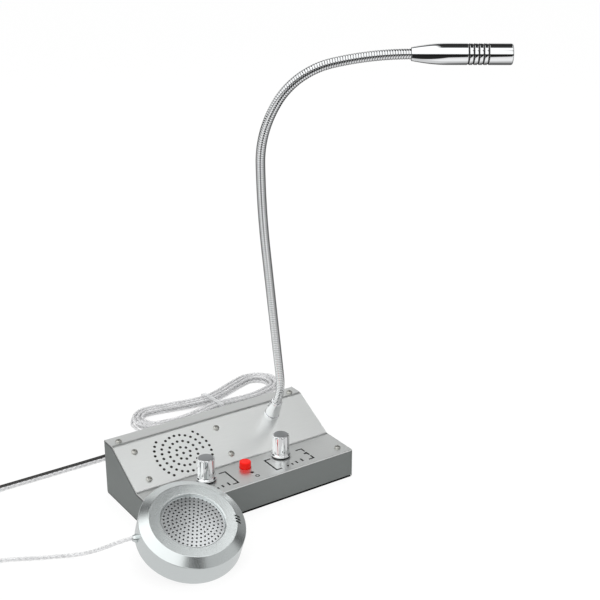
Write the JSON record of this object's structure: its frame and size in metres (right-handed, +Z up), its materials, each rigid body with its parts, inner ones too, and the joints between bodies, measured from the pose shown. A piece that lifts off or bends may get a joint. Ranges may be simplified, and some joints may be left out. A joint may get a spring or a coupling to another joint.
{
  "type": "teller window intercom",
  "caption": "Counter intercom: wave-topped metal base unit with two knobs, a push button and a gooseneck microphone, and a round outer speaker unit on its cord.",
  "frame": {"origin": "centre of the base unit's footprint, on the table", "axes": "+X to the operator's right, -Y to the front where the knobs are, +Z up"},
  "size_m": [0.4945, 0.3555, 0.4036],
  "materials": {
    "tray_grey": "satin grey",
    "panel_silver": "satin polished",
    "screw_steel": "plain",
    "plated_steel": "plated",
    "black_rubber": "matt",
    "magnet": "dull",
    "paper": "pressed paper",
    "chrome": "mirror",
    "knob_disc": "dark satin",
    "red_plastic": "gloss",
    "white_plastic": "plain",
    "black_plastic": "fine grain",
    "lamp_red": "tinted",
    "board_green": "solder mask",
    "brass": "plain",
    "capacitor": "sleeved",
    "ribbon": "plain",
    "puck_silver": "bead blasted satin",
    "foam_black": "closed-cell foam",
    "clear_cord": "clear jacket over silver strands",
    "dark_cord": "gloss",
    "tie": "clear",
    "grille_dark": "dark"
  },
  "bodies": {
    "base": {"base_tray": "tray_grey", "top_panel": "panel_silver", "panel_screws": "screw_steel", "rubber_feet": "black_rubber", "speaker_frame": "plated_steel", "speaker_magnet": "magnet", "speaker_cone": "paper", "speaker_screws": "screw_steel", "speaker_nuts": "plated_steel", "dial_body_left": "plated_steel", "dial_body_right": "plated_steel", "dial_nuts": "plated_steel", "switch_body": "black_plastic", "switch_spring": "plated_steel", "indicator_lamp": "lamp_red", "control_board": "board_green", "main_board": "board_green", "board_standoffs": "brass", "board_screws": "plated_steel", "board_capacitors": "capacitor", "board_chips": "black_plastic", "ribbon_cable": "ribbon", "neck_collar": "chrome", "neck_nut": "plated_steel", "supply_socket": "black_plastic", "record_socket": "black_plastic", "outer_socket": "black_plastic", "socket_nuts": "plated_steel", "puck_shell": "puck_silver", "puck_grille": "puck_silver", "puck_driver_frame": "plated_steel", "puck_magnet": "magnet", "puck_cone": "paper", "window_mic": "plated_steel", "puck_back_plate": "black_plastic", "puck_screws": "plated_steel", "puck_pad": "foam_black", "puck_gland": "puck_silver", "clear_cord_front": "clear_cord", "clear_cord_hank": "clear_cord", "clear_cord_rear": "clear_cord", "hank_tie": "tie", "clear_plug": "black_plastic", "supply_cord": "dark_cord", "supply_coil": "dark_cord", "supply_plug": "black_plastic", "plug_in_supply": "black_plastic"},
    "knob_left": {"knob_left": "chrome", "knob_disc_left": "knob_disc", "dial_shaft_left": "plated_steel"},
    "knob_right": {"knob_right": "chrome", "knob_disc_right": "knob_disc", "dial_shaft_right": "plated_steel"},
    "button": {"button_cap": "red_plastic", "switch_plunger": "white_plastic"},
    "neck": {"gooseneck": "chrome"},
    "mic_head": {"mic_shell": "chrome", "mic_end_grille": "grille_dark", "mic_capsule": "plated_steel", "mic_ring": "black_rubber"}
  },
  "joints": [
    {"name": "knob_left_turn", "type": "hinge", "parent": "base", "child": "knob_left", "pos_m": [-0.0383, -0.023, 0.03], "axis": [0, 0, 1], "range_deg": [-150, 150]},
    {"name": "knob_right_turn", "type": "hinge", "parent": "base", "child": "knob_right", "pos_m": [0.0397, -0.023, 0.03], "axis": [0, 0, 1], "range_deg": [-150, 150]},
    {"name": "button_press", "type": "slide", "parent": "base", "child": "button", "axis": [0, 0, -1], "range_m": [0, 0.002], "stiffness_N_per_m": 400, "springref_m": -0.002, "deforming": ["switch_spring"]},
    {"name": "neck_lean", "type": "hinge", "parent": "base", "child": "neck", "pos_m": [0.05786, 0.00589, 0.07764], "axis": [0.5736, 0.8192, 0], "range_deg": [-30, 40], "deforming": ["gooseneck"]},
    {"name": "mic_bend", "type": "hinge", "parent": "neck", "child": "mic_head", "pos_m": [0.02125, -0.05049, 0.35747], "axis": [0.5581, 0.7971, 0.2307], "range_deg": [-60, 60], "deforming": ["gooseneck"]}
  ]
}
